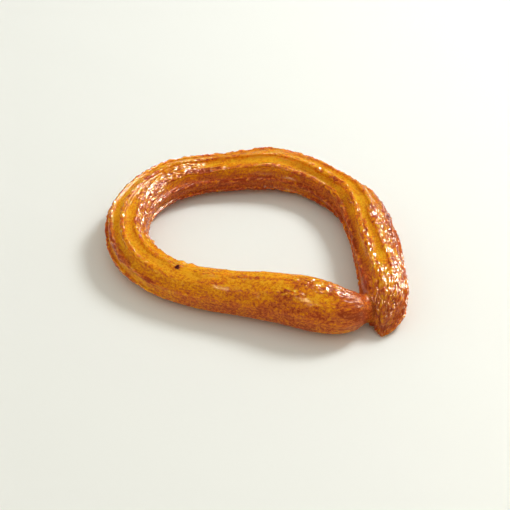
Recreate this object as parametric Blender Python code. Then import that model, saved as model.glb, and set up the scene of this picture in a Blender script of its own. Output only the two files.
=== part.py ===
"""A cruller ring: one string of dough piped through a star nozzle, fried and soaked in syrup.

The string starts at a pinched tip, runs up the right limb, along the back, round the left bend and
home along the swollen front limb, and its tapered tail is pressed into the side of its own start.
Lengths are in millimetres until the mesh is placed. The ring lies on z = 0, centred on x and y.
"""

import math

import bmesh
import bpy
import numpy as np
from mathutils import Vector

MM = 0.001

# Where the nozzle passed over the table: x, y, thickness of the string, lift of its underside,
# and turn of its ridges in degrees towards the inside of the ring
ROUTE = (
    (57.3, -60.2, 2.4, 0.0, -24.0),    # pinched tip, squeezed off the nozzle
    (57.7, -57.6, 6.8, 0.0, -16.0),
    (58.3, -54.8, 12.4, 0.0, -8.0),
    (58.9, -50.8, 17.6, 0.0, 2.0),
    (59.2, -45.0, 20.6, 0.0, 12.0),
    (58.9, -32.0, 21.8, 0.0, 24.0),    # foot of the right limb
    (56.6, -5.0, 22.0, 0.0, 38.0),
    (52.4, 19.0, 21.2, 0.0, 32.0),
    (42.0, 38.2, 19.2, 0.0, 14.0),     # back right shoulder, where the string is thinnest
    (26.0, 51.6, 19.0, 0.0, 10.0),
    (9.0, 56.6, 20.6, 0.0, 4.0),
    (-12.0, 54.4, 19.2, 0.0, 1.0),     # back limb
    (-32.5, 49.2, 19.4, 0.0, 1.0),
    (-50.8, 34.6, 19.8, 0.0, 1.0),     # left bend
    (-60.0, 5.8, 20.2, 0.0, -8.0),
    (-51.2, -21.6, 19.2, 0.0, -28.0),
    (-33.0, -36.0, 19.2, 0.0, -37.0),  # front limb, where the ridges puff out
    (-4.6, -43.8, 20.8, 0.0, -42.0),
    (15.0, -48.4, 23.4, 0.0, -45.0),
    (31.0, -53.4, 24.2, 0.0, -47.0),   # thickest stretch
    (42.0, -53.9, 20.2, 1.0, -54.0),
    (47.4, -50.8, 15.4, 2.0, -60.0),
    (51.6, -48.4, 11.8, 1.8, -64.0),
    (57.0, -46.0, 8.0, 2.4, -68.0),    # tail, buried in the side of the right limb
)

RIDGES = 9
RIDGE_DEPTH = 1.4
SWOLLEN_RIDGE_DEPTH = 0.4
CREST_SHARPNESS = 0.65      # below 1 the crests are narrow and the grooves between them broad
THIN_END = 20.0             # under this thickness the ridges get shallower with the string
SWELL_STARTS = 255.0        # along the string
SWELL_COMPLETE = 305.0
UNDERSIDE_SINK = 0.6        # how far the soft underside has settled flat
UNDERSIDE_RIDGES = 0.25     # share of their depth that the ridges keep under the string
UNDERSIDE_SPREAD = (math.radians(125.0), math.radians(155.0))   # angles over which they flatten
END_ROUNDING = 4.0

# Slow unevenness of a hand-piped string: wavelength along it, share of its thickness
UNEVENNESS = ((37.0, 0.008), (23.0, 0.008), (61.0, 0.008))

# Crust blisters: distance along the string, angle from its top towards the inside, diameter
BLISTERS = (
    (262.0, 60.0, 4.4),
    (288.5, 34.0, 6.6),
    (294.0, 36.0, 5.4),
    (311.0, 28.0, 4.2),
    (328.0, 28.0, 3.8),
    (232.0, -58.0, 4.4),
    (224.0, -55.0, 4.0),
    (68.0, -58.0, 5.0),
)
BLISTER_SINK = 0.3          # share of its diameter by which a blister's centre lies under the skin

# Cushion of dough squeezed out where tail and limb were pressed together
PRESSED_SEAM = Vector((50.5, -49.6, 8.6))
PRESSED_SEAM_SIZE = Vector((9.0, 8.0, 13.0))

# Folds across the start of the string, where it was pinched: distance along it, depth
FOLDS = ((8.6, 0.7), (14.0, 0.9))
FOLD_WIDTH = 1.8

STATIONS = 92               # along the string, past its pinched start
START_STATIONS = 10
START_LENGTH = 16.0
POINTS_PER_RIDGE = 6
ROUTE_STEPS = 2000          # fine steps in which the route is measured
WELD = 0.001
SLIVER = 0.02               # shortest edge kept where surfaces cross

FRIED_DOUGH = (0.52, 0.17, 0.025, 1.0)
SYRUP_ROUGHNESS = 0.28


def natural_spline(knots, values, where):
    """Read a natural cubic spline through rows of values, given at the knots, wherever asked."""
    gaps = np.diff(knots)
    slopes = np.diff(values, axis=0) / gaps[:, None]
    system = np.eye(len(knots))
    bends = np.zeros_like(values)
    for row in range(1, len(knots) - 1):
        before, after = gaps[row - 1], gaps[row]
        system[row, row - 1:row + 2] = before, 2.0 * (before + after), after
        bends[row] = 6.0 * (slopes[row] - slopes[row - 1])
    bends = np.linalg.solve(system, bends)

    span = np.clip(np.searchsorted(knots, where, side="right") - 1, 0, len(gaps) - 1)
    gap = gaps[span][:, None]
    ahead = (knots[span + 1] - where)[:, None]
    behind = (where - knots[span])[:, None]
    curve = (bends[span] * ahead ** 3 + bends[span + 1] * behind ** 3) / (6.0 * gap)
    line = (values[span] / gap - bends[span] * gap / 6.0) * ahead
    line += (values[span + 1] / gap - bends[span + 1] * gap / 6.0) * behind
    return curve + line


def measured_route():
    """Distance along the string, and the route's columns, in fine steps."""
    stops = np.array(ROUTE)
    chords = np.hypot(*np.diff(stops[:, :2], axis=0).T)
    knots = np.concatenate(([0.0], np.cumsum(chords)))
    route = natural_spline(knots, stops, np.linspace(0.0, knots[-1], ROUTE_STEPS))
    strides = np.hypot(*np.diff(route[:, :2], axis=0).T)
    return np.concatenate(([0.0], np.cumsum(strides))), route


def fade(value, start, end):
    """Smooth step from 0 at the start to 1 at the end."""
    share = min(max((value - start) / (end - start), 0.0), 1.0)
    return share * share * (3.0 - 2.0 * share)


def ridge_depth(along, angle, half):
    """Full depth but for the swollen limb, where the ridges puffed out, and the settled underside."""
    swollen = fade(along, SWELL_STARTS, SWELL_COMPLETE)
    underneath = fade(math.pi - abs(math.pi - angle % math.tau), *UNDERSIDE_SPREAD)
    depth = RIDGE_DEPTH + (SWOLLEN_RIDGE_DEPTH - RIDGE_DEPTH) * swollen
    depth *= 1.0 - (1.0 - UNDERSIDE_RIDGES) * underneath
    return depth * min(2.0 * half / THIN_END, 1.0)


def unevenness(along):
    """Factor on the thickness of a hand-piped string."""
    return 1.0 + sum(share * math.sin(math.tau * along / wave) for wave, share in UNEVENNESS)


def folds(along, angle):
    """Depth of the pinch folds, which fade out towards the underside."""
    depth = sum(deep * math.exp(-((along - place) / FOLD_WIDTH) ** 2) for place, deep in FOLDS)
    return depth * (1.0 + math.cos(angle)) / 2.0


def end_rounding(along, length):
    """Factor that closes both ends of the string in a round nose."""
    to_end = min(along, length - along)
    short = 1.0 - min(to_end / END_ROUNDING, 1.0)
    return math.sqrt(1.0 - short * short)


def skin_point(measured, along, angle, sink=0.0):
    """Place on the skin at a distance along the string and an angle from its top to the inside."""
    distance, route = measured
    x, y, thickness, lift, turn = (float(np.interp(along, distance, column)) for column in route.T)
    run_x, run_y = (float(np.interp(along, distance, np.gradient(route[:, axis]))) for axis in (0, 1))
    inward = Vector((-run_y, run_x, 0.0)).normalized()
    up = Vector((0.0, 0.0, 1.0))

    half = thickness / 2.0 * unevenness(along)
    tooth = (1.0 - math.cos(RIDGES * (angle - math.radians(turn)))) / 2.0
    reach = half - tooth ** CREST_SHARPNESS * ridge_depth(along, angle, half) - folds(along, angle)
    reach = reach * end_rounding(along, distance[-1]) - sink

    middle = Vector((x, y, half - UNDERSIDE_SINK + lift))
    point = middle + reach * (math.cos(angle) * up + math.sin(angle) * inward)
    point.z = max(point.z, 0.0)
    return point


def station_place(number, length):
    """Distance along the string of a ring of points: they lie closer together at its start."""
    if number <= START_STATIONS:
        return START_LENGTH * number / START_STATIONS
    return START_LENGTH + (length - START_LENGTH) * (number - START_STATIONS) / STATIONS


def piped_string(measured):
    """Roll a flat grid up into the ridged string: its first axis goes round, its second along."""
    around = RIDGES * POINTS_PER_RIDGE
    stations = START_STATIONS + STATIONS
    shape = bmesh.new()
    bmesh.ops.create_grid(shape, x_segments=around, y_segments=stations, size=0.5)
    for vert in shape.verts:
        angle = math.tau * round((vert.co.x + 0.5) * around) / around
        along = station_place(round((vert.co.y + 0.5) * stations), float(measured[0][-1]))
        vert.co = skin_point(measured, along, angle)
    bmesh.ops.remove_doubles(shape, verts=shape.verts, dist=WELD)
    bmesh.ops.recalc_face_normals(shape, faces=shape.faces)
    return shape


def ball(centre, size, subdivisions):
    """A faceted ball stretched to the size given."""
    shape = bmesh.new()
    bmesh.ops.create_icosphere(shape, subdivisions=subdivisions, radius=0.5)
    bmesh.ops.scale(shape, vec=size, verts=shape.verts)
    bmesh.ops.translate(shape, vec=centre, verts=shape.verts)
    return shape


def fried_dough():
    """Golden brown crust under a film of syrup."""
    material = bpy.data.materials.new("fried_dough")
    material.use_nodes = True
    shader = material.node_tree.nodes["Principled BSDF"]
    shader.inputs["Base Color"].default_value = FRIED_DOUGH
    shader.inputs["Roughness"].default_value = SYRUP_ROUGHNESS
    shader.inputs["Metallic"].default_value = 0.0
    return material


def make_object(name, shape, collection):
    """Turn a bmesh in millimetres into an object of the collection, still in millimetres."""
    mesh = bpy.data.meshes.new(name)
    shape.to_mesh(mesh)
    shape.free()
    item = bpy.data.objects.new(name, mesh)
    collection.objects.link(item)
    return item


def fuse(item, pieces):
    """Union the string with itself, where its tail lies in its start, and with the loose pieces."""
    union = item.modifiers.new("union", "BOOLEAN")
    union.operation = "UNION"
    union.solver = "EXACT"
    union.use_self = True
    union.operand_type = "COLLECTION"
    union.collection = pieces
    depsgraph = bpy.context.evaluated_depsgraph_get()
    fused = bpy.data.meshes.new_from_object(item.evaluated_get(depsgraph))
    item.modifiers.clear()
    item.data = fused
    for piece in list(pieces.objects):
        bpy.data.objects.remove(piece)
    bpy.data.collections.remove(pieces)


def place(item):
    """Stand the ring over the origin and turn its millimetres into metres."""
    shape = bmesh.new()
    shape.from_mesh(item.data)
    bmesh.ops.remove_doubles(shape, verts=shape.verts, dist=SLIVER)
    bmesh.ops.dissolve_degenerate(shape, edges=shape.edges, dist=SLIVER)
    corners = np.array([vert.co for vert in shape.verts])
    middle = (corners.min(axis=0) + corners.max(axis=0)) / 2.0
    bmesh.ops.translate(shape, vec=(-middle[0], -middle[1], 0.0), verts=shape.verts)
    bmesh.ops.scale(shape, vec=(MM, MM, MM), verts=shape.verts)
    bmesh.ops.triangulate(shape, faces=shape.faces)
    shape.to_mesh(item.data)
    shape.free()


def main():
    for item in list(bpy.data.objects):
        bpy.data.objects.remove(item)
    scene_collection = bpy.context.scene.collection
    measured = measured_route()
    cruller = make_object("cruller", piped_string(measured), scene_collection)

    pieces = bpy.data.collections.new("pieces")
    scene_collection.children.link(pieces)
    make_object("pressed_seam", ball(PRESSED_SEAM, PRESSED_SEAM_SIZE, 3), pieces)
    for along, degrees, size in BLISTERS:
        centre = skin_point(measured, along, math.radians(degrees), size * BLISTER_SINK)
        make_object("blister", ball(centre, (size, size, size), 2), pieces)

    fuse(cruller, pieces)
    place(cruller)
    cruller.data.materials.clear()
    cruller.data.materials.append(fried_dough())
    cruller.data.shade_smooth()


main()
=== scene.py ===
import math

import bmesh
import bpy
import numpy as np
from mathutils import Matrix, Vector, kdtree, noise


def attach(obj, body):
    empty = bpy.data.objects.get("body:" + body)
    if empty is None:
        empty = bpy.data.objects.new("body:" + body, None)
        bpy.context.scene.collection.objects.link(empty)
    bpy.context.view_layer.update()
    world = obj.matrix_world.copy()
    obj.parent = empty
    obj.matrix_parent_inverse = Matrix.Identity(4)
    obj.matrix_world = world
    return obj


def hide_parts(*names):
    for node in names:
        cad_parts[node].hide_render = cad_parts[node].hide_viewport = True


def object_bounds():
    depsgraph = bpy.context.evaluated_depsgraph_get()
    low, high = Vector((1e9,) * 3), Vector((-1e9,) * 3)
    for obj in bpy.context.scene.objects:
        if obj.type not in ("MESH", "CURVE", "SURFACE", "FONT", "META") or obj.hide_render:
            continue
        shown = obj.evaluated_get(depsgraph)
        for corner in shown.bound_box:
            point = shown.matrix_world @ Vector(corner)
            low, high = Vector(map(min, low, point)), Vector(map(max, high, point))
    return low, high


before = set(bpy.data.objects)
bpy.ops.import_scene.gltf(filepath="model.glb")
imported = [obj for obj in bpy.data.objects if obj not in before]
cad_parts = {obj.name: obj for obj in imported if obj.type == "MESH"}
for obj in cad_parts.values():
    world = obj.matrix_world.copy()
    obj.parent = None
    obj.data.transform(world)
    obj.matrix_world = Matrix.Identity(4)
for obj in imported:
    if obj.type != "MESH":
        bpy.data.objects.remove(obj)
cad_low, cad_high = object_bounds()

# The piped string.
# One string of egg dough squeezed through a star nozzle straight into a ring, its tapered tail pressed
# into the side of its own start. Lengths are in millimetres until the finished crust is placed.

MM = 0.001

# Where the nozzle passed: x, y, thickness of the string, lift of its underside, turn of its ridges
ROUTE = (
    (57.3, -60.2, 2.4, 0.0, -24.0),    # pinched tip, squeezed off the nozzle
    (57.7, -57.6, 6.8, 0.0, -16.0),
    (58.3, -54.8, 12.4, 0.0, -8.0),
    (58.9, -50.8, 17.6, 0.0, 2.0),
    (59.2, -45.0, 20.6, 0.0, 12.0),
    (58.9, -32.0, 21.8, 0.0, 24.0),    # foot of the right limb
    (56.6, -5.0, 22.0, 0.0, 38.0),
    (52.4, 19.0, 21.2, 0.0, 32.0),
    (42.0, 38.2, 19.2, 0.0, 14.0),     # back right shoulder
    (26.0, 51.6, 19.0, 0.0, 10.0),
    (9.0, 56.6, 20.6, 0.0, 4.0),
    (-12.0, 54.4, 19.2, 0.0, 1.0),     # back limb
    (-32.5, 49.2, 19.4, 0.0, 1.0),
    (-50.8, 34.6, 19.8, 0.0, 1.0),     # left bend
    (-60.0, 5.8, 20.2, 0.0, -8.0),
    (-51.2, -21.6, 19.2, 0.0, -28.0),
    (-33.0, -36.0, 19.2, 0.0, -37.0),  # front limb
    (-4.6, -43.8, 20.8, 0.0, -42.0),
    (15.0, -48.4, 23.4, 0.0, -45.0),
    (31.0, -53.4, 24.2, 0.0, -47.0),   # thickest stretch
    (42.0, -53.9, 20.2, 1.0, -54.0),
    (47.4, -50.8, 15.4, 2.0, -60.0),
    (51.6, -48.4, 11.8, 1.8, -64.0),
    (57.0, -46.0, 8.0, 2.4, -68.0),    # tail, buried in the side of the right limb
)
ROUTE_STEPS = 2000

RIDGES = 9
RIDGE_DEPTH = 1.2
SWOLLEN_RIDGE_DEPTH = 0.4
CREST_SHARPNESS = 0.65      # below 1 the crests are narrow and the grooves between them broad
THIN_END = 20.0             # under this thickness the ridges get shallower with the string
SWELL_STARTS = 255.0        # along the string
SWELL_COMPLETE = 305.0
UNDERSIDE_SINK = 0.6
UNDERSIDE_RIDGES = 0.25
UNDERSIDE_SPREAD = (math.radians(125.0), math.radians(155.0))
END_ROUNDING = 4.0
FOLDS = ((8.6, 0.7), (14.0, 0.9))      # across the pinched start: distance along the string, depth
FOLD_WIDTH = 1.8
UNEVENNESS = ((37.0, 0.008), (23.0, 0.008), (61.0, 0.008))

POINTS_AROUND = 180
STATIONS = 560
WELD = 0.001


def natural_spline(knots, values, where):
    """Read a natural cubic spline through rows of values, given at the knots, wherever asked."""
    gaps = np.diff(knots)
    slopes = np.diff(values, axis=0) / gaps[:, None]
    system = np.eye(len(knots))
    bends = np.zeros_like(values)
    for row in range(1, len(knots) - 1):
        before, after = gaps[row - 1], gaps[row]
        system[row, row - 1:row + 2] = before, 2.0 * (before + after), after
        bends[row] = 6.0 * (slopes[row] - slopes[row - 1])
    bends = np.linalg.solve(system, bends)

    span = np.clip(np.searchsorted(knots, where, side="right") - 1, 0, len(gaps) - 1)
    gap = gaps[span][:, None]
    ahead = (knots[span + 1] - where)[:, None]
    behind = (where - knots[span])[:, None]
    curve = (bends[span] * ahead ** 3 + bends[span + 1] * behind ** 3) / (6.0 * gap)
    line = (values[span] / gap - bends[span] * gap / 6.0) * ahead
    line += (values[span + 1] / gap - bends[span + 1] * gap / 6.0) * behind
    return curve + line


def measured_route():
    """Distance along the string, and the route's columns, in fine steps."""
    stops = np.array(ROUTE)
    chords = np.hypot(*np.diff(stops[:, :2], axis=0).T)
    knots = np.concatenate(([0.0], np.cumsum(chords)))
    fine = natural_spline(knots, stops, np.linspace(0.0, knots[-1], ROUTE_STEPS))
    strides = np.hypot(*np.diff(fine[:, :2], axis=0).T)
    return np.concatenate(([0.0], np.cumsum(strides))), fine


distance, route = measured_route()
length = distance[-1]
run = np.gradient(route[:, :2], axis=0)
run /= np.linalg.norm(run, axis=1)[:, None]


def fade(value, start, end):
    """Smooth step from 0 at the start to 1 at the end."""
    share = np.clip((value - start) / (end - start), 0.0, 1.0)
    return share * share * (3.0 - 2.0 * share)


def from_bottom(angle):
    """How far round from the top a place is, 0 to pi, the same on both flanks."""
    return math.pi - np.abs(math.pi - angle % math.tau)


def spine(along):
    """Middle of the string, direction to the inside of the ring, half thickness and ridge turn."""
    x, y, thickness, lift, turn = (np.interp(along, distance, column) for column in route.T)
    run_x, run_y = (np.interp(along, distance, column) for column in run.T)
    uneven = sum(share * np.sin(math.tau * along / wave) for wave, share in UNEVENNESS)
    half = thickness / 2.0 * (1.0 + uneven)
    middle = np.column_stack((x, y, half - UNDERSIDE_SINK + lift))
    inward = np.column_stack((-run_y, run_x, np.zeros_like(run_x)))
    return middle, inward, half, np.radians(turn)


def crest_height(along, angle):
    """1 on the crest of a ridge, 0 in the bottom of a groove."""
    turn = spine(along)[3]
    tooth = (1.0 - np.cos(RIDGES * (angle - turn))) / 2.0
    return 1.0 - tooth ** CREST_SHARPNESS


def skin(along, angle):
    """Places on the plain ridged skin."""
    middle, inward, half, _ = spine(along)
    swollen = fade(along, SWELL_STARTS, SWELL_COMPLETE)
    depth = RIDGE_DEPTH + (SWOLLEN_RIDGE_DEPTH - RIDGE_DEPTH) * swollen
    depth *= 1.0 - (1.0 - UNDERSIDE_RIDGES) * fade(from_bottom(angle), *UNDERSIDE_SPREAD)
    depth *= np.minimum(2.0 * half / THIN_END, 1.0)
    short = 1.0 - np.minimum(np.minimum(along, length - along) / END_ROUNDING, 1.0)
    reach = half - (1.0 - crest_height(along, angle)) * depth
    for place, deep in FOLDS:
        reach -= deep * np.exp(-((along - place) / FOLD_WIDTH) ** 2) * (1.0 + np.cos(angle)) / 2.0
    reach *= np.sqrt(1.0 - short * short)
    points = middle + inward * (reach * np.sin(angle))[:, None]
    points[:, 2] = np.maximum(points[:, 2] + reach * np.cos(angle), 0.0)
    return points


shape = bmesh.new()
bmesh.ops.create_grid(shape, x_segments=POINTS_AROUND, y_segments=STATIONS, size=0.5)
flat = np.array([vert.co for vert in shape.verts])
swept_angle = math.tau * np.round((flat[:, 0] + 0.5) * POINTS_AROUND) / POINTS_AROUND
swept_along = length * np.round((flat[:, 1] + 0.5) * STATIONS) / STATIONS
swept = skin(swept_along, swept_angle)
for vert, place in zip(shape.verts, swept.tolist()):
    vert.co = place
bmesh.ops.remove_doubles(shape, verts=shape.verts, dist=WELD)
bmesh.ops.recalc_face_normals(shape, faces=shape.faces)

# The pressed join and the blisters.
# A cushion of dough was squeezed up where tail and start were pressed together, and steam raised small
# blisters in the crust. Both are one with the string, so everything is fused into one closed skin.

PRESSED_SEAM = Vector((50.5, -49.6, 8.6))
PRESSED_SEAM_SIZE = Vector((9.0, 8.0, 13.0))

# Distance along the string, angle from its top towards the inside in degrees, diameter
BLISTERS = (
    (262.0, 60.0, 4.4),
    (288.5, 34.0, 6.6),
    (294.0, 36.0, 5.4),
    (311.0, 28.0, 4.2),
    (328.0, 28.0, 3.8),
    (232.0, -58.0, 4.4),
    (224.0, -55.0, 4.0),
    (68.0, -58.0, 5.0),
)
BLISTER_SINK = 0.3          # share of a blister's diameter between the skin and its middle
BLISTER_SUBDIVISIONS = 3
SEAM_SUBDIVISIONS = 4
SKIN_VOXEL = 0.6
SMOOTHING = 0.5
SMOOTHING_ROUNDS = 4
JOIN_REACH = 10.0           # round the pressed seam, where the dough was rubbed smooth
JOIN_SMOOTHING_ROUNDS = 30
UNROLLED_RADIUS = 10.0      # the string is unrolled as if it were nowhere thicker than this


def add_ball(shape, centre, size, subdivisions):
    """A ball stretched to the size given."""
    made = bmesh.ops.create_icosphere(shape, subdivisions=subdivisions, radius=0.5)
    bmesh.ops.scale(shape, vec=size, verts=made["verts"])
    bmesh.ops.translate(shape, vec=centre, verts=made["verts"])


add_ball(shape, PRESSED_SEAM, PRESSED_SEAM_SIZE, SEAM_SUBDIVISIONS)
for station, degrees, size in BLISTERS:
    spot = np.array([station])
    turned = np.array([math.radians(degrees)])
    outside = Vector(skin(spot, turned)[0])
    core = Vector(spine(spot)[0][0])
    centre = outside + (core - outside).normalized() * size * BLISTER_SINK
    add_ball(shape, centre, (size, size, size), BLISTER_SUBDIVISIONS)

crust = bpy.data.objects.new("cruller_crust", bpy.data.meshes.new("cruller_crust"))
bpy.context.scene.collection.objects.link(crust)
shape.to_mesh(crust.data)
shape.free()

fusing = crust.modifiers.new("fused_skin", "REMESH")
fusing.mode = "VOXEL"
fusing.voxel_size = SKIN_VOXEL
evaluated = crust.evaluated_get(bpy.context.evaluated_depsgraph_get())
fused = bpy.data.meshes.new_from_object(evaluated)
crust.modifiers.clear()
crust.data = fused

shape = bmesh.new()
shape.from_mesh(crust.data)
join = [vert for vert in shape.verts if (vert.co - PRESSED_SEAM).length < JOIN_REACH]
for smoothed, rounds in ((shape.verts, SMOOTHING_ROUNDS), (join, JOIN_SMOOTHING_ROUNDS)):
    for _ in range(rounds):
        bmesh.ops.smooth_vert(
            shape, verts=smoothed, factor=SMOOTHING,
            use_axis_x=True, use_axis_y=True, use_axis_z=True)
bmesh.ops.recalc_face_normals(shape, faces=shape.faces)
places = np.array([vert.co for vert in shape.verts])
outward = np.array([vert.normal for vert in shape.verts])

# Each place of the fused skin on the string: distance along it, and angle from its top
tree = kdtree.KDTree(len(swept))
for index, place in enumerate(swept.tolist()):
    tree.insert(place, index)
tree.balance()
nearest = np.array([tree.find(place)[1] for place in places.tolist()])
near_along = swept_along[nearest]
middle, inward, half, _ = spine(near_along)
offset = places - middle
run_at = np.column_stack((inward[:, 1], -inward[:, 0]))
along = near_along + (offset[:, :2] * run_at).sum(axis=1)
angle = np.arctan2((offset * inward).sum(axis=1), offset[:, 2])
around = np.column_stack((np.cos(angle), np.sin(angle)))
around *= np.minimum(half, UNROLLED_RADIUS)[:, None]
unrolled = np.column_stack((along, around))

# The crust.
# In hot oil the wet ridges tore, blistered and set hard first, while the grooves between them stayed
# smooth. The relief is moved straight out of the skin, so that it is there in the mesh.

GRAIN_INCREMENT = 1.0       # each octave of the noise is half as strong as the one before
GRAIN_LACUNARITY = 2.0      # and twice as fine
PATCH_FULL = 0.4            # shares of a patch's reach: full within the first, gone by the second
PATCH_GONE = 1.1


def grain(points, size, octaves):
    """Noise from about -1 to 1, with features of the size given."""
    return np.array([
        noise.fractal(point, GRAIN_INCREMENT, GRAIN_LACUNARITY, octaves)
        for point in (points / size).tolist()])


def patches(spots):
    """1 in the middle of each patch and 0 outside them; each has its place and reach on the string."""
    covered = np.zeros(len(along))
    for centre, degrees, reach_along, reach_round in spots:
        round_it = (np.degrees(angle) - degrees + 180.0) % 360.0 - 180.0
        far = np.hypot((along - centre) / reach_along, round_it / reach_round)
        covered = np.maximum(covered, 1.0 - fade(far, PATCH_FULL, PATCH_GONE))
    return covered


# Where steam crinkled the crust right across the grooves: distance along the string, angle from its
# top towards the inside in degrees, reach along it in mm and round it in degrees
CRINKLED = (
    (12.0, 0.0, 24.0, 80.0),        # foot of the right limb
    (34.0, -34.0, 24.0, 28.0),
    (30.0, 20.0, 9.0, 9.0),         # inner crest of the right limb
    (42.0, 24.0, 10.0, 7.0),
    (56.0, 28.0, 10.0, 7.0),
    (70.0, 34.0, 10.0, 7.0),
    (84.0, 38.0, 9.0, 7.0),
    (58.0, -20.0, 24.0, 30.0),      # outer side of the right limb
    (66.0, 2.0, 11.0, 15.0),
    (73.0, -46.0, 20.0, 24.0),
    (100.0, 20.0, 14.0, 7.0),       # crests of the back limb
    (176.0, 41.0, 16.0, 10.0),
    (190.0, 22.0, 16.0, 18.0),      # back of the left bend
    (205.0, 30.0, 20.0, 22.0),
    (217.0, 40.0, 24.0, 42.0),
    (243.0, 52.0, 22.0, 36.0),      # inside of the left bend
    (288.0, 6.0, 6.0, 10.0),        # front limb
    (302.0, -6.0, 7.0, 16.0),
    (321.0, -2.0, 9.0, 9.0),
    (343.0, 2.0, 8.0, 8.0),
    (344.0, -34.0, 9.0, 12.0),
    (358.0, 6.0, 18.0, 28.0),       # shoulder of the front limb
)

# Relief in millimetres; the stretches draw a noise out along the string
BEAD_STRETCH = np.array((0.35, 1.0, 1.0))
BEAD_WAVER = 0.3
BEAD_WAVER_SIZE = 5.0
BEAD_EDGE = (0.42, 0.78)        # on the ridge, where its torn bead starts and is complete
BEAD_HEIGHT = 0.85
BEAD_LOST_IN_CRINKLES = 0.7
CRUST_SINK = 0.2
PLAIN_ROUGH = 0.08              # shares of the full crinkles
SWOLLEN_ROUGH = 0.14
CRINKLE_STRETCH = np.array((0.55, 1.0, 1.0))
CRINKLE_HEIGHT = 0.9
CRINKLE_SIZE = 2.2
CRINKLE_LEVEL = 0.28
PEBBLE_HEIGHT = 0.3
PEBBLE_SIZE = 1.6
LUMP_HEIGHT = 0.18
LUMP_SIZE = 9.0
LINE_STRETCH = np.array((0.14, 1.0, 1.0))
LINE_HEIGHT = 0.16
LINE_SIZE = 1.7
GROOVE_FILLING = 0.7            # share of a groove's depth that crinkled crust fills
SMOOTH_FOOT = 3.0               # height under which the crust gets smoother towards the floor
RESTING = 1.2                   # height under which the relief flattens out, where it lay

swollen = fade(along, SWELL_STARTS, SWELL_COMPLETE)
crinkled = patches(CRINKLED)
crest = crest_height(along, angle)
waver = BEAD_WAVER * grain(unrolled * BEAD_STRETCH, BEAD_WAVER_SIZE, 2)
bead = fade(crest + waver, *BEAD_EDGE) * (1.0 - swollen)
rough = np.clip(PLAIN_ROUGH + SWOLLEN_ROUGH * swollen + bead + crinkled, 0.0, 1.0)
rough *= fade(places[:, 2], 0.0, SMOOTH_FOOT)

lumps = LUMP_HEIGHT * grain(places, LUMP_SIZE, 2)
lips = BEAD_HEIGHT * bead * (1.0 - BEAD_LOST_IN_CRINKLES * crinkled) - CRUST_SINK
folds = np.abs(grain(unrolled * CRINKLE_STRETCH, CRINKLE_SIZE, 2))
crinkles = CRINKLE_HEIGHT * (CRINKLE_LEVEL - folds) * rough
pebbles = PEBBLE_HEIGHT * grain(places, PEBBLE_SIZE, 2) * rough
lines = LINE_HEIGHT * grain(unrolled * LINE_STRETCH, LINE_SIZE, 2)
filling = GROOVE_FILLING * RIDGE_DEPTH * (1.0 - crest) * (1.0 - swollen) * crinkled
relief = lumps + lips + crinkles + pebbles + lines + filling
settled = fade(places[:, 2], 0.0, RESTING)
places = places + outward * (relief * settled)[:, None]
places[:, 2] = np.maximum(places[:, 2], 0.0)

outline = (swept.min(axis=0) + swept.max(axis=0)) / 2.0
cad_middle = (cad_low + cad_high) / 2.0
places[:, 0] += cad_middle.x / MM - outline[0]
places[:, 1] += cad_middle.y / MM - outline[1]
for vert, place in zip(shape.verts, (places * MM).tolist()):
    vert.co = place
shape.to_mesh(crust.data)
shape.free()
crust.data.shade_smooth()

# Where the crust browned most, in the same four figures. On the inside of the right and back limbs,
# the outside of the left bend and low on the front limb, the sides turned from the light, this brown
# is partly painted shade
BROWNED_AND_SHADED = (
    (5.0, 10.0, 9.0, 90.0),         # tip
    (12.0, 100.0, 14.0, 50.0),
    (15.0, -66.0, 20.0, 34.0),      # outer side of the foot
    (371.0, -30.0, 14.0, 110.0),    # join
    (26.0, 70.0, 22.0, 40.0),
    (55.0, 85.0, 45.0, 32.0),       # inside of the right limb
    (64.0, -62.0, 34.0, 26.0),      # its outer side
    (102.0, 92.0, 34.0, 50.0),      # inside of the back limb
    (172.0, 100.0, 56.0, 54.0),
    (182.0, 42.0, 16.0, 11.0),      # crest of the back limb
    (256.0, -64.0, 16.0, 20.0),     # outside of the left bend
    (279.0, -76.0, 6.0, 14.0),
    (330.0, -4.0, 14.0, 9.0),       # front limb
    (307.0, -30.0, 8.0, 12.0),
    (349.0, -14.0, 9.0, 14.0),
    (320.0, -52.0, 9.0, 14.0),
    (341.0, -48.0, 8.0, 14.0),
    (350.0, -70.0, 20.0, 22.0),
    (334.0, -106.0, 48.0, 38.0),    # low on the front limb
)
# Where it is darkest of all
RUSTY = (
    (373.0, -40.0, 12.0, 110.0),    # join
    (11.0, 100.0, 12.0, 40.0),
    (56.0, -46.0, 26.0, 24.0),      # outer side of the right limb
)
# And where it stayed palest. On the top of the back limb this paleness is partly painted light, and
# low on the outer side at the front left it is painted light thrown up from the floor
PALE_AND_PAINTED_LIGHT = (
    (138.0, 12.0, 26.0, 24.0),      # top of the back limb
    (301.0, -14.0, 12.0, 16.0),     # front limb
    (268.0, -84.0, 16.0, 20.0),
    (14.0, 0.0, 14.0, 34.0),        # foot of the right limb
)
# Where the syrup ran off, as it did on the inner flanks of the right and back limbs too
DRY = (
    (373.0, -35.0, 10.0, 70.0),     # join
    (54.0, -60.0, 22.0, 18.0),      # low on the outer side of the right limb
    (44.0, -44.0, 14.0, 14.0),
)
BURNT_SPECKS = (
    (289.4, -3.0, 1.5, 9.0),        # on the front limb
    (68.0, -52.0, 1.0, 6.0),        # on the outside of the right limb
    (74.0, -60.0, 1.2, 5.0),
)

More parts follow.
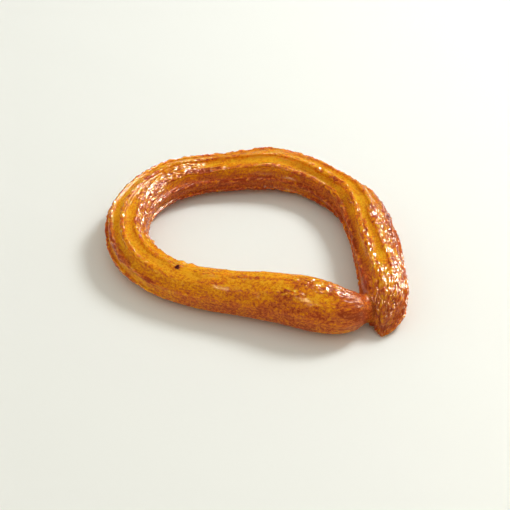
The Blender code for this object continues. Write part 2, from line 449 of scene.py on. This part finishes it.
# How far each of these browns the crust, on a scale from pale gold at 0 to burnt at 1
PLAIN_BROWNING = 0.2
FLANK_BROWNING_AND_SHADE = 0.24
PATCH_BROWNING_AND_SHADE = 0.28
BLOTCH_BROWNING = 0.17
BEAD_BROWNING = 0.14
CRINKLE_BROWNING = 0.22
RUST_BROWNING = 0.26
PALING_AND_PAINTED_LIGHT = 0.22
BLOTCH_SIZE = 6.0
FLANK_HEIGHTS = (0.3, 0.85)     # shares of the half thickness over the string's middle
PLAIN_SPECKLE = 2.1             # strength of the mottling, on the same scale
SWOLLEN_SPECKLE = 0.8

# How much the crust is wrinkled and how much syrup it holds, from 0 to 1
PLAIN_CRUMPLE = 0.05
SWOLLEN_CRUMPLE = 0.15
CRINKLED_CRUMPLE = 0.85
GROOVE_SYRUP = 0.08
SYRUP_LOST = 0.85
INNER_FLANK = (40.0, 70.0)      # degrees round from the top
LEFT_BEND = (185.0, 210.0)      # along the string, where the inner flank turns wet again

# The flanks are browner than the top: partly browning, partly painted shade on the sides turned from
# the light
flank = 1.0 - fade(np.cos(angle), *FLANK_HEIGHTS)
blotches = grain(places, BLOTCH_SIZE, 3)
# The browned patches are partly painted shade where they lie on the sides turned from the light
browning_light_and_shade = PLAIN_BROWNING + FLANK_BROWNING_AND_SHADE * flank + PATCH_BROWNING_AND_SHADE * patches(BROWNED_AND_SHADED)
browning_light_and_shade += BLOTCH_BROWNING * blotches + BEAD_BROWNING * bead + CRINKLE_BROWNING * crinkled
# The pale patches take brown off: painted light low at the front left, and in part on the back limb's
# top
browning_light_and_shade += RUST_BROWNING * patches(RUSTY) - PALING_AND_PAINTED_LIGHT * patches(PALE_AND_PAINTED_LIGHT)
speckle = PLAIN_SPECKLE + SWOLLEN_SPECKLE * swollen
browning_light_and_shade -= speckle / 2.0
burnt = patches(BURNT_SPECKS)

crumple = PLAIN_CRUMPLE + SWOLLEN_CRUMPLE * swollen
crumple += CRINKLED_CRUMPLE * crinkled + bead * (1.0 - crinkled)
crumple *= fade(places[:, 2], 0.0, SMOOTH_FOOT)
torn = np.maximum(bead, crinkled)
inside = fade(np.degrees(angle), *INNER_FLANK) * (1.0 - fade(along, *LEFT_BEND))
drained = np.maximum(inside, patches(DRY))
syrup = (GROOVE_SYRUP + (1.0 - GROOVE_SYRUP) * torn) * (1.0 - SYRUP_LOST * drained)


def keep_as_attribute(name, kind, field, values):
    """Store a value for each vertex, for the crust's material to read."""
    attribute = crust.data.attributes.new(name, kind, "POINT")
    attribute.data.foreach_set(field, np.ascontiguousarray(values, dtype=np.float32).ravel())


keep_as_attribute("unrolled", "FLOAT_VECTOR", "vector", unrolled)
keep_as_attribute("crumple", "FLOAT", "value", crumple)
keep_as_attribute("syrup", "FLOAT", "value", syrup)
keep_as_attribute("browning_light_and_shade", "FLOAT", "value", browning_light_and_shade)
keep_as_attribute("speckle", "FLOAT", "value", speckle)
keep_as_attribute("burnt", "FLOAT", "value", burnt)


def linear(hex_colour):
    """An sRGB hex colour as linear red, green, blue and alpha."""
    channels = [int(hex_colour[start:start + 2], 16) / 255.0 for start in (0, 2, 4)]
    return [c / 12.92 if c <= 0.04045 else ((c + 0.055) / 1.055) ** 2.4 for c in channels] + [1.0]


def add_node(tree, kind, inputs=(), **settings):
    """Add a node with its settings, and set or link each input that is named or numbered."""
    made = tree.nodes.new("ShaderNode" + kind)
    for name, value in settings.items():
        setattr(made, name, value)
    for socket, value in dict(inputs).items():
        if isinstance(value, bpy.types.NodeSocket):
            tree.links.new(value, made.inputs[socket])
        else:
            made.inputs[socket].default_value = value
    return made


# Fried choux crust soaked in sugar syrup: amber where it is thin and smooth, rusty where it browned,
# with painted shade on the sides turned from the light and in the hollows of its wrinkles, and painted
# light on some tops; wet all over, so that every torn edge of the ridges glints
CRUST_TONES = (
    (0.00, "E8A824"),
    (0.25, "DA880E"),
    (0.50, "C86D26"),
    (0.72, "B8582A"),
    (0.90, "943E18"),
    (1.00, "401018"),
)
DARKEST_BROWN = 0.88        # of these tones; only burnt specks go further
TONE_SHIFT = 0.22           # taken off, so that the streaks and creases don't darken the whole
# Millimetres across. In the real crust all three are about half a millimetre, which is one dot of the
# render, so they are drawn as coarse as they need to show.
MOTTLE = 1.0
STREAK = 1.1                # left by the teeth of the nozzle
WRINKLE = 1.2               # in the torn crust
MOTTLE_STRETCH = (0.8, 1.0, 1.0)
STREAK_STRETCH = (0.1, 1.0, 1.0)
WRINKLE_STRETCH = (0.35, 1.0, 1.0)
STREAK_BROWNING = 0.34
CREASE_BROWNING_AND_SHADE = 2.2
STREAK_BUMP = 0.12
FILM_EDGE = (0.4, 0.52)     # height on a wrinkle where the syrup's film starts and is complete
THIN_FILM = 0.08


def syrup_soaked_crust():
    material = bpy.data.materials.new("syrup_soaked_choux_crust")
    material.use_nodes = True
    tree = material.node_tree
    shader = tree.nodes["Principled BSDF"]

    string = add_node(tree, "Attribute", attribute_name="unrolled").outputs["Vector"]
    crumple = add_node(tree, "Attribute", attribute_name="crumple").outputs["Fac"]
    syrup = add_node(tree, "Attribute", attribute_name="syrup").outputs["Fac"]
    # Browning with painted shade and painted light, from the skin's attribute
    brown_light_and_shade = add_node(tree, "Attribute", attribute_name="browning_light_and_shade").outputs["Fac"]
    speckle = add_node(tree, "Attribute", attribute_name="speckle").outputs["Fac"]
    burnt = add_node(tree, "Attribute", attribute_name="burnt").outputs["Fac"]

    mottle_place = add_node(tree, "VectorMath", {
        0: string, 1: MOTTLE_STRETCH}, operation="MULTIPLY").outputs[0]
    mottle = add_node(tree, "TexNoise", {
        "Vector": mottle_place, "Scale": 1.0 / MOTTLE,
        "Detail": 4.0, "Roughness": 0.75}).outputs["Fac"]
    streak_place = add_node(tree, "VectorMath", {
        0: string, 1: STREAK_STRETCH}, operation="MULTIPLY").outputs[0]
    streak = add_node(tree, "TexNoise", {
        "Vector": streak_place, "Scale": 1.0 / STREAK, "Detail": 2.0}).outputs["Fac"]
    wrinkle_place = add_node(tree, "VectorMath", {
        0: string, 1: WRINKLE_STRETCH}, operation="MULTIPLY").outputs[0]
    wrinkle = add_node(tree, "TexNoise", {
        "Vector": wrinkle_place, "Scale": 1.0 / WRINKLE,
        "Detail": 1.0, "Distortion": 0.5}).outputs["Fac"]
    hollow = add_node(tree, "Math", {0: 0.5, 1: wrinkle}, operation="SUBTRACT").outputs[0]
    crease = add_node(tree, "Math", {0: hollow, 1: crumple}, operation="MULTIPLY").outputs[0]

    mottled = add_node(tree, "Math", {
        0: mottle, 1: speckle, 2: brown_light_and_shade}, operation="MULTIPLY_ADD").outputs[0]
    streaked = add_node(tree, "Math", {
        0: streak, 1: STREAK_BROWNING, 2: mottled}, operation="MULTIPLY_ADD").outputs[0]
    # Darker in the hollows of the wrinkles: partly browning where the syrup left them dry, partly
    # painted shade
    creased_and_shaded = add_node(tree, "Math", {
        0: crease, 1: CREASE_BROWNING_AND_SHADE, 2: streaked}, operation="MULTIPLY_ADD").outputs[0]
    shifted = add_node(tree, "Math", {0: creased_and_shaded, 1: TONE_SHIFT}, operation="SUBTRACT").outputs[0]
    limited = add_node(tree, "Math", {0: shifted, 1: DARKEST_BROWN}, operation="MINIMUM").outputs[0]
    tone = add_node(tree, "Math", {0: limited, 1: burnt}, operation="ADD").outputs[0]

    ramp = add_node(tree, "ValToRGB", {"Fac": tone})
    stops = ramp.color_ramp.elements
    while len(stops) < len(CRUST_TONES):
        stops.new(0.5)
    for stop, (position, colour) in zip(stops, CRUST_TONES):
        stop.position = position
        stop.color = linear(colour)
    tree.links.new(ramp.outputs["Color"], shader.inputs["Base Color"])

    wrinkled = add_node(tree, "Math", {0: wrinkle, 1: crumple}, operation="MULTIPLY").outputs[0]
    height = add_node(tree, "Math", {
        0: streak, 1: STREAK_BUMP, 2: wrinkled}, operation="MULTIPLY_ADD").outputs[0]
    bump = add_node(tree, "Bump", {"Height": height, "Distance": MM, "Strength": 1.0})
    tree.links.new(bump.outputs["Normal"], shader.inputs["Normal"])
    tree.links.new(bump.outputs["Normal"], shader.inputs["Coat Normal"])

    shader.inputs["Roughness"].default_value = 0.2
    shader.inputs["IOR"].default_value = 1.47
    shader.inputs["Specular IOR Level"].default_value = 0.1
    shader.inputs["Subsurface Weight"].default_value = 0.75
    shader.inputs["Subsurface Radius"].default_value = (1.0, 0.3, 0.06)
    shader.inputs["Subsurface Scale"].default_value = 0.004
    clinging = add_node(tree, "MapRange", {
        "Value": wrinkle, "From Min": FILM_EDGE[0], "From Max": FILM_EDGE[1],
        "To Min": THIN_FILM, "To Max": 1.0}, interpolation_type="SMOOTHSTEP").outputs[0]
    film = add_node(tree, "Math", {0: clinging, 1: syrup}, operation="MULTIPLY").outputs[0]
    tree.links.new(film, shader.inputs["Coat Weight"])
    shader.inputs["Coat Roughness"].default_value = 0.05
    shader.inputs["Coat IOR"].default_value = 1.47
    return material


crust.data.materials.append(syrup_soaked_crust())
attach(crust, "root")
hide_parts("cruller")

# The floor.
# A plain slab of pale glazed stoneware that the ring lies on, wide enough to fill the picture.
# It is no part of the object.

FLOOR_SIZE = 6.0


# Satin glaze fired on stoneware: off-white, and too dull to mirror the panels
def pale_glaze():
    material = bpy.data.materials.new("pale_glaze")
    material.use_nodes = True
    shader = material.node_tree.nodes["Principled BSDF"]
    shader.inputs["Base Color"].default_value = linear("E4E8E4")
    shader.inputs["Roughness"].default_value = 0.6
    shader.inputs["Specular IOR Level"].default_value = 0.1
    return material


shape = bmesh.new()
bmesh.ops.create_grid(shape, x_segments=1, y_segments=1, size=FLOOR_SIZE / 2.0)
floor = bpy.data.objects.new("floor", bpy.data.meshes.new("floor"))
bpy.context.scene.collection.objects.link(floor)
shape.to_mesh(floor.data)
shape.free()
floor.data.materials.append(pale_glaze())

# The light.
# A small softbox from the back right in a bright pale room. Three panels add gloss alone: one round
# the softbox and one lower beside it, for the glints, and a dim one from the front left.

PANEL_DISTANCE = 1.2
ROOM_COLOUR = "FFF8EC"
ROOM_BRIGHTNESS = 0.72

# Name, azimuth from +Y towards +X, elevation, size in metres, power in watts, colour, and whether it
# lights the surface as well as adding gloss
PANELS = (
    ("softbox", 50.0, 45.0, 0.34, 9.5, "FAFCFF", True),
    ("silk", 50.0, 45.0, 0.5, 60.0, "FFF5E0", False),
    ("low_silk", 62.0, 22.0, 0.45, 17.0, "FFF0D0", False),
    ("near_gloss", 200.0, 48.0, 0.36, 13.0, "FFE4BC", False),
)


def hang_panel(name, azimuth, elevation, size, power, colour, lights_the_surface):
    """A square panel of light turned towards the ring."""
    panel = bpy.data.lights.new(name, "AREA")
    panel.size = size
    panel.energy = power
    panel.color = linear(colour)[:3]
    azimuth = math.radians(azimuth)
    elevation = math.radians(elevation)
    towards = Vector((
        math.sin(azimuth) * math.cos(elevation),
        math.cos(azimuth) * math.cos(elevation),
        math.sin(elevation)))
    hung = bpy.data.objects.new(name, panel)
    hung.location = towards * PANEL_DISTANCE
    hung.rotation_euler = towards.to_track_quat("Z", "Y").to_euler()
    hung.visible_diffuse = lights_the_surface
    bpy.context.scene.collection.objects.link(hung)


for panel in PANELS:
    hang_panel(*panel)

room = bpy.data.worlds.new("room")
room.use_nodes = True
background = room.node_tree.nodes["Background"]
background.inputs["Color"].default_value = linear(ROOM_COLOUR)
background.inputs["Strength"].default_value = ROOM_BRIGHTNESS
bpy.context.scene.world = room
room.cycles_visibility.glossy = False
bpy.context.scene.view_settings.view_transform = "Standard"

# The camera.
# It looks along +Y and down at the ring, a little rolled, from two thirds of a metre away, with a
# short telephoto lens.

CAMERA_PLACE = Vector((0.867, -533.67, 403.19)) * MM
CAMERA_ELEVATION = math.radians(37.21)
CAMERA_ROLL = math.radians(1.53)
LENS = 99.4
SENSOR = 36.0

upward = Vector((0.0, math.sin(CAMERA_ELEVATION), math.cos(CAMERA_ELEVATION)))
backward = Vector((0.0, -math.cos(CAMERA_ELEVATION), math.sin(CAMERA_ELEVATION)))
image_right = Vector((1.0, 0.0, 0.0)) * math.cos(CAMERA_ROLL) + upward * math.sin(CAMERA_ROLL)
image_up = backward.cross(image_right)
lens = bpy.data.cameras.new("camera")
lens.lens = LENS
lens.sensor_width = SENSOR
camera = bpy.data.objects.new("camera", lens)
turned = Matrix((image_right, image_up, backward)).transposed().to_4x4()
camera.matrix_world = Matrix.Translation(CAMERA_PLACE) @ turned
bpy.context.scene.collection.objects.link(camera)
bpy.context.scene.camera = camera
